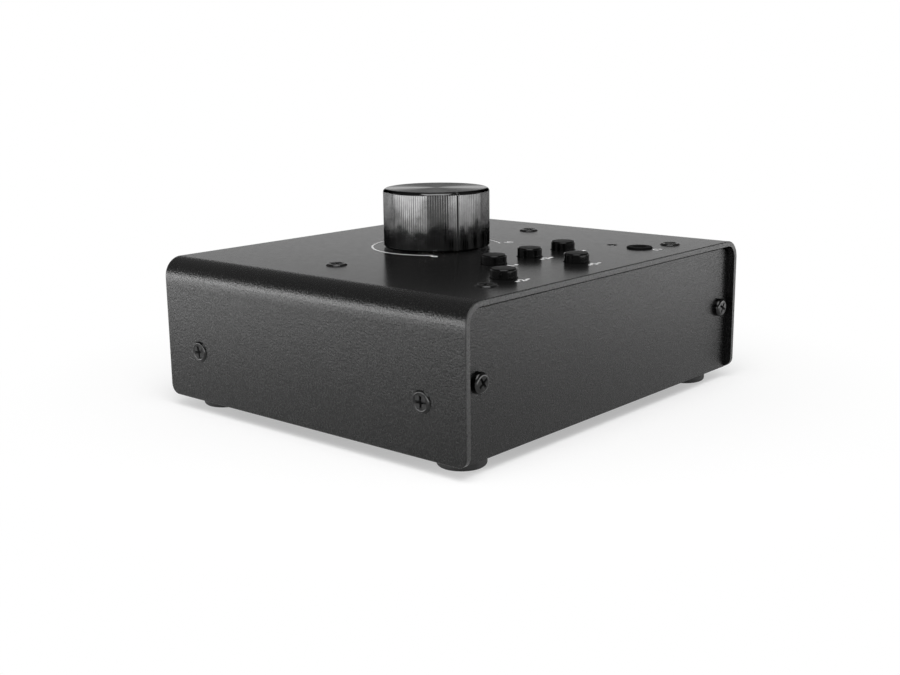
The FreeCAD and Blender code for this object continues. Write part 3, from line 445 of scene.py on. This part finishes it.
def in_pointer(normal, at):
    """Whether a face lies in the knob's groove, which runs down its side at the pointer's angle."""
    x = at.x - knob_x
    y = at.y - knob_y
    along = x * pointer_way.x + y * pointer_way.y
    across = abs(x * pointer_way.y - y * pointer_way.x)
    sunk = math.hypot(x, y) < knob_r - POINTER_DEPTH
    return sunk and across < POINTER_HALF_W and KNOB_SIDE_FROM * knob_r < along


def on_knob_top(normal, at):
    return normal.z > MOSTLY_UP and at.z > knob_high.z - KNOB_TOP_DEPTH


def on_cap_face(normal, at):
    return normal.z > MOSTLY_UP and at.z > top_z


def on_cover_top(normal, at):
    return normal.z > FLAT_UP


def on_cover_edge(normal, at):
    return normal.y < FRONTWARD and at.y < cover_low.y + COVER_EDGE_DEPTH


def paint_recesses(material, name, axis, head_r):
    """Paint the cross recesses of screws that face along axis, one in each corner of the box."""
    low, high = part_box(name)
    face_at = max(abs(low[axis]), abs(high[axis])) - RECESS_DEPTH
    across = [i for i in (X, Y, Z) if i != axis]

    def in_recess(normal, at):
        off = [min(abs(at[i] - low[i] - head_r), abs(high[i] - head_r - at[i])) for i in across]
        return abs(at[axis]) < face_at and math.hypot(*off) < RECESS_R

    paint_faces(material, name, in_recess)


def add_springs(material):
    """Copies of the switches' return springs, in their own finish, in place of the imported coils,
    which are hidden.
    """
    for number in BUTTONS:
        node = "switch_spring_%d" % number
        spring = link_object("return_spring_%d" % number, nodes[node].data.copy())
        spring.data.materials.clear()
        spring.data.materials.append(material)
        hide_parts(node)
        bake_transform(spring)


def finish_case():
    paint(powder_coat(), "base_tray", "front_panel", "rear_panel")
    paint(powder_coat_cover(), "top_cover")
    paint_faces(powder_coat_top(), "top_cover", on_cover_top)
    paint_faces(powder_coat_edge(), "top_cover", on_cover_edge)
    paint(rubber(), "rubber_feet")


def finish_controls():
    paint(knob_side(), "volume_knob")
    paint_faces(knob_top(), "volume_knob", on_knob_top)
    paint_faces(knob_slot(), "volume_knob", in_pointer)
    cap_side = polished_plastic()
    cap_face = pressed_face()
    for number in BUTTONS:
        paint(cap_side, "button_cap_%d" % number)
        paint_faces(cap_face, "button_cap_%d" % number, on_cap_face)
    paint(lens(), "status_led")


def finish_screws():
    lacquered = moulded_plastic("screw_lacquer", grey(0.003), grey(0.006), 0.16, 0.26, ior=1.5)
    paint(lacquered, "cover_top_screws")
    black_screw = metal("screw_black", grey(0.02), grey(0.04), 0.14, 0.24)
    paint(black_screw, "cover_side_screws", "front_panel_screws", "rear_panel_screws")
    paint(black_screw, "tray_screws", "knob_set_screw")
    recess = screw_recess()
    paint_recesses(recess, "cover_top_screws", Z, RAISED_HEAD_R)
    paint_recesses(recess, "cover_side_screws", X, RAISED_HEAD_R)
    paint_recesses(recess, "front_panel_screws", Y, PAN_HEAD_R)
    paint_recesses(recess, "rear_panel_screws", Y, PAN_HEAD_R)


def finish_electrics():
    """The sockets, and all that sits inside the case."""
    dull_black = moulded_plastic("socket_dull_black", grey(0.003), grey(0.006), 0.65, 0.8, ior=1.2)
    paint(dull_black, "headphone_jack_body")
    black = moulded_plastic("socket_black", grey(0.01), grey(0.018))
    paint(black, "line_jack_bodies", "power_inlet_body", "switch_housings")
    paint(black, "board_headers", "audio_chips", "pot_housing", "pot_track")
    nickel = metal("nickel", (0.55, 0.54, 0.5), (0.68, 0.67, 0.63), 0.16, 0.3)
    paint(nickel, "line_jack_collars", "line_jack_nuts", "line_jack_contacts")
    paint(nickel, "power_inlet_pin", "headphone_jack_contacts")
    paint(nickel, "pot_nut", "pot_washer", "pot_bush", "pot_shaft", "pot_wiper")
    zinc = metal("zinc", (0.5, 0.5, 0.52), (0.62, 0.62, 0.63), 0.3, 0.45)
    paint(zinc, "cover_side_nuts", "panel_nuts", "board_screws", "led_leads", "switch_pins")
    add_springs(metal("spring_wire", grey(0.5), grey(0.62), 0.2, 0.35))
    brass = metal("brass_dull", (0.07, 0.055, 0.03), (0.12, 0.09, 0.05), 0.45, 0.6)
    paint(brass, "control_standoffs", "main_standoffs")
    paint(circuit_board(), "control_board", "main_board")
    cream = moulded_plastic("moulded_cream", (0.5, 0.47, 0.4), (0.6, 0.57, 0.5))
    paint(cream, "selector_relays", *["switch_plunger_%d" % number for number in BUTTONS])
    blue = moulded_plastic("sleeve_blue", (0.01, 0.015, 0.05), (0.02, 0.03, 0.09))
    paint(blue, "filter_capacitors")
    paint(ribbon(), "ribbon_cable")


# ------------------------------------------------------------------ white print
PRINT_T = 0.02 * MM  # ink above the coat
ARC_R = 19.3 * MM
ARC_LINE = 0.55 * MM
ARC_HALF_ANGLE = 128  # degrees each way from straight back
ARC_STEPS = 96
DIGIT_H = 2.2 * MM
DASH_L = 1.4 * MM  # short bars beside a button's number
DASH_W = 0.8 * MM
DASH_OFFSET = 2.0 * MM
LABEL_DROP = 6.0 * MM  # a control's centre to its number
LOWEST_AT = (-16.3 * MM, -4.3 * MM)  # the numbers at the two ends of the arc
HIGHEST_AT = (18.2 * MM, -4.0 * MM)
HEADBAND_R = 1.1 * MM
HEADBAND_LINE = 0.3 * MM
HEADBAND_STEPS = 24
EAR_PAD_W = 0.6 * MM
EAR_PAD_L = 1.0 * MM
LINE_JACKS = 6
LINE_LABEL_RISE = 4.5 * MM  # a nut's top to the number over it
FONT_SIZE = 1.4  # the font's size and how much its strokes thicken, in digit heights
FONT_BOLDEN = 0.05
FONT_STEPS = 4


def flat_shape(outlines):
    """One thin mesh on the top, from closed outlines of (x, y) points that don't touch."""
    mesh = bmesh.new()
    for outline in outlines:
        bottom = [mesh.verts.new((x, y, top_z)) for x, y in outline]
        face = mesh.faces.new(bottom)
        raised = bmesh.ops.extrude_face_region(mesh, geom=[face])
        for item in raised["geom"]:
            if isinstance(item, bmesh.types.BMVert):
                item.co.z += PRINT_T
    bmesh.ops.recalc_face_normals(mesh, faces=mesh.faces)
    return mesh


def ring_part(x, y, radius, line, start, end, steps):
    """Outline of an arc of a ring, from start to end degrees."""
    outer = []
    inner = []
    for i in range(steps + 1):
        angle = math.radians(start + (end - start) * i / steps)
        for edge, reach in ((outer, radius + line / 2), (inner, radius - line / 2)):
            edge.append((x + reach * math.cos(angle), y + reach * math.sin(angle)))
    return outer + inner[::-1]


def bar(x, y, width, height):
    """Outline of a rectangle about its centre."""
    return [
        (x - width / 2, y - height / 2),
        (x + width / 2, y - height / 2),
        (x + width / 2, y + height / 2),
        (x - width / 2, y + height / 2),
    ]


def add_print(name, outlines, ink):
    data = bpy.data.meshes.new(name)
    mesh = flat_shape(outlines)
    mesh.to_mesh(data)
    mesh.free()
    data.materials.append(ink)
    piece = link_object(name, data)
    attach(piece, "case")


def add_number(name, text, place, ink, facing=None):
    """Plain digits, centred on place; they lie on the top unless facing turns them."""
    curve = bpy.data.curves.new(name, "FONT")
    curve.body = text
    curve.size = FONT_SIZE * DIGIT_H
    curve.extrude = PRINT_T / 2
    curve.offset = FONT_BOLDEN * DIGIT_H
    curve.resolution_u = FONT_STEPS
    curve.align_x = "CENTER"
    curve.align_y = "CENTER"
    letters = bpy.data.objects.new(name + "_letters", curve)
    mesh = bpy.data.meshes.new_from_object(letters)
    bpy.data.objects.remove(letters)
    mesh.materials.clear()
    mesh.materials.append(ink)
    piece = link_object(name, mesh)
    piece.matrix_world = Matrix.Translation(place) @ (facing or Matrix.Identity(4))
    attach(piece, "case")


def on_top(x, y):
    """The middle of a number's thickness when it lies on the cover."""
    return Vector((x, y, top_z + PRINT_T / 2))


def print_headphone_mark(ink):
    """A headband with an ear pad at each end, in front of the socket."""
    socket = middle("headphone_jack_body")
    x = socket.x
    y = socket.y - LABEL_DROP
    band = ring_part(x, y, HEADBAND_R, HEADBAND_LINE, 0, 180, HEADBAND_STEPS)
    pads = [
        bar(x + side * HEADBAND_R, y - EAR_PAD_L / 2, EAR_PAD_W, EAR_PAD_L) for side in (-1, 1)
    ]
    add_print("print_headphones", [band] + pads, ink)


def print_line_numbers(ink):
    """Numbers over the rear sockets, from left to right as the rear is looked at."""
    back = Matrix.Rotation(math.pi, 4, "Z") @ Matrix.Rotation(math.pi / 2, 4, "X")
    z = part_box("line_jack_nuts")[1].z + LINE_LABEL_RISE
    low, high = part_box("line_jack_collars")
    collar_r = (high.z - low.z) / 2
    first = high.x - collar_r
    last = low.x + collar_r
    for i in range(LINE_JACKS):
        x = first + (last - first) * i / (LINE_JACKS - 1)
        place = Vector((x, rear_panel_y + PRINT_T / 2, z))
        add_number("print_line_%d" % (i + 1), str(i + 1), place, ink, facing=back)


def build_print():
    ink = white_print()
    start = 90 - ARC_HALF_ANGLE
    end = 90 + ARC_HALF_ANGLE
    arc = ring_part(knob_x, knob_y, ARC_R, ARC_LINE, start, end, ARC_STEPS)
    add_print("print_volume_arc", [arc], ink)
    add_number("print_volume_low", "0", on_top(*LOWEST_AT), ink)
    add_number("print_volume_high", "10", on_top(*HIGHEST_AT), ink)
    for number in BUTTONS:
        at = middle("button_cap_%d" % number)
        y = at.y - LABEL_DROP
        add_number("print_button_%d" % number, str(number), on_top(at.x, y), ink)
        dashes = [bar(at.x + side * DASH_OFFSET, y, DASH_L, DASH_W) for side in (-1, 1)]
        add_print("print_dashes_%d" % number, dashes, ink)
    print_headphone_mark(ink)
    print_line_numbers(ink)


# ------------------------------------------------------------------ studio
TABLE_R = 0.2  # small round table, no wider than the object needs
TABLE_STEPS = 96
FADE_FROM = 0.055  # metres from the middle where the table begins to turn into the backdrop
FADE_TO = 0.15
TABLE_COVER = 0.62  # how much lamp light the middle of the table sends back
TABLE_GLOW = 0.4  # and how much it shines, as the backdrop does
TABLE_BOUNCE = 0.12  # what the table throws back onto the object's matt parts
BACKDROP = 1.0
BACKDROP_TOP = 0.04  # sine of the elevation where the white backdrop begins to end
CEILING_FROM = 0.28  # and where the dim ceiling is reached
CEILING = 0.18
PANEL_DISTANCE = 0.45
PANEL_W = 0.8
PANEL_FOOT = -0.25  # heights of a panel's face and of the bright rim along its top
PANEL_RIM = 0.0
PANEL_TOP = 0.055
OVERHEAD_AIM = Vector((0, 0, 0.03))


def shade(value):
    """An opaque grey."""
    return (value, value, value, 1)


def mix(tree, factor, a, b):
    """From colour a to colour b, as factor goes from 0 to 1."""
    made = tree.nodes.new("ShaderNodeMix")
    made.data_type = "RGBA"
    tree.links.new(factor, made.inputs["Factor"])
    made.inputs["A"].default_value = a
    made.inputs["B"].default_value = b
    return made.outputs["Result"]


def either(tree, first, second):
    """1 where either of two 0 or 1 values is 1."""
    made = tree.nodes.new("ShaderNodeMath")
    made.operation = "ADD"
    made.use_clamp = True
    tree.links.new(first, made.inputs[0])
    tree.links.new(second, made.inputs[1])
    return made.outputs[0]


def smooth_step(tree, source, start, end):
    """From 0 to 1, as source goes from start to end."""
    made = tree.nodes.new("ShaderNodeMapRange")
    made.interpolation_type = "SMOOTHSTEP"
    tree.links.new(source, made.inputs["Value"])
    made.inputs["From Min"].default_value = start
    made.inputs["From Max"].default_value = end
    return made.outputs["Result"]


def floor_material():
    """Pale and lit in the middle, plain white at the rim, and a dim matt to all other rays."""
    material = bpy.data.materials.new("studio_floor")
    material.use_nodes = True
    tree = material.node_tree
    tree.nodes.remove(tree.nodes["Principled BSDF"])
    place = tree.nodes.new("ShaderNodeTexCoord")
    reach = tree.nodes.new("ShaderNodeVectorMath")
    reach.operation = "LENGTH"
    tree.links.new(place.outputs["Object"], reach.inputs[0])
    outward = smooth_step(tree, reach.outputs["Value"], FADE_FROM, FADE_TO)

    lit = tree.nodes.new("ShaderNodeBsdfDiffuse")
    tree.links.new(mix(tree, outward, shade(TABLE_COVER), shade(0.0)), lit.inputs["Color"])
    glow = tree.nodes.new("ShaderNodeEmission")
    glow.inputs["Strength"].default_value = 1.0
    tree.links.new(mix(tree, outward, shade(TABLE_GLOW), shade(BACKDROP)), glow.inputs["Color"])
    pale = tree.nodes.new("ShaderNodeAddShader")
    tree.links.new(lit.outputs[0], pale.inputs[0])
    tree.links.new(glow.outputs[0], pale.inputs[1])

    matt = tree.nodes.new("ShaderNodeBsdfDiffuse")
    matt.inputs["Color"].default_value = shade(TABLE_BOUNCE)
    rays = tree.nodes.new("ShaderNodeLightPath").outputs
    seen = either(tree, rays["Is Camera Ray"], rays["Is Glossy Ray"])
    choice = tree.nodes.new("ShaderNodeMixShader")
    tree.links.new(either(tree, seen, rays["Is Transmission Ray"]), choice.inputs[0])
    tree.links.new(matt.outputs[0], choice.inputs[1])
    tree.links.new(pale.outputs[0], choice.inputs[2])
    tree.links.new(choice.outputs[0], tree.nodes["Material Output"].inputs["Surface"])
    return material


def build_floor():
    """A pale round table that turns into the white backdrop at its rim and keeps a soft shadow."""
    data = bpy.data.meshes.new("studio_floor")
    mesh = bmesh.new()
    bmesh.ops.create_circle(mesh, cap_ends=True, segments=TABLE_STEPS, radius=TABLE_R)
    mesh.to_mesh(data)
    mesh.free()
    floor = link_object("studio_floor", data)
    data.materials.append(floor_material())


def build_world():
    """White below the horizon and a little above it, and a dim ceiling over that."""
    world = bpy.data.worlds.new("studio")
    bpy.context.scene.world = world
    world.use_nodes = True
    tree = world.node_tree
    place = tree.nodes.new("ShaderNodeTexCoord")
    apart = tree.nodes.new("ShaderNodeSeparateXYZ")
    tree.links.new(place.outputs["Generated"], apart.inputs[0])
    up = smooth_step(tree, apart.outputs["Z"], BACKDROP_TOP, CEILING_FROM)
    sky = mix(tree, up, shade(BACKDROP), shade(CEILING))
    tree.links.new(sky, tree.nodes["Background"].inputs["Color"])


def add_lamp(name, place, aim, width, tall, radiance):
    """A flat rectangular lamp that the camera doesn't see, aimed at a point."""
    data = bpy.data.lights.new(name, "AREA")
    data.shape = "RECTANGLE"
    data.size = width
    data.size_y = tall
    data.energy = radiance * math.pi * width * tall
    lamp = link_object(name, data)
    turn = (aim - place).to_track_quat("-Z", "Y").to_matrix().to_4x4()
    lamp.matrix_world = Matrix.Translation(place) @ turn
    lamp.visible_camera = False


def at_bearing(bearing, distance, height):
    """A place at a bearing in degrees clockwise from -Y."""
    angle = math.radians(bearing)
    return Vector((-distance * math.sin(angle), -distance * math.cos(angle), height))


def add_panel(name, bearing, face, rim):
    """A low upright light panel: the radiance of its face, and of the strip along its top."""
    parts = (("face", PANEL_FOOT, PANEL_RIM, face), ("rim", PANEL_RIM, PANEL_TOP, rim))
    for part, low, high, radiance in parts:
        height = (low + high) / 2
        place = at_bearing(bearing, PANEL_DISTANCE, height)
        aim = Vector((0, 0, height))
        add_lamp(name + "_" + part, place, aim, PANEL_W, high - low, radiance)


def add_overhead(name, bearing, elevation, distance, width, radiance):
    """A square softbox that looks down on the object."""
    rise = math.radians(elevation)
    place = at_bearing(bearing, distance * math.cos(rise), distance * math.sin(rise))
    add_lamp(name, place, OVERHEAD_AIM, width, width, radiance)


def build_lights():
    """Two low panels, to the left and right of the camera, and a softbox over it."""
    add_panel("panel_left", bearing=CAMERA_TURN + 60, face=2.3, rim=12.0)
    add_panel("panel_right", bearing=CAMERA_TURN - 68, face=2.2, rim=7.5)
    add_overhead("overhead", CAMERA_TURN, elevation=62, distance=0.9, width=0.7, radiance=4.7)


build_camera()
finish_case()
finish_controls()
finish_screws()
finish_electrics()
build_print()
build_floor()
build_world()
build_lights()

scene = bpy.context.scene
scene.view_settings.view_transform = "Standard"
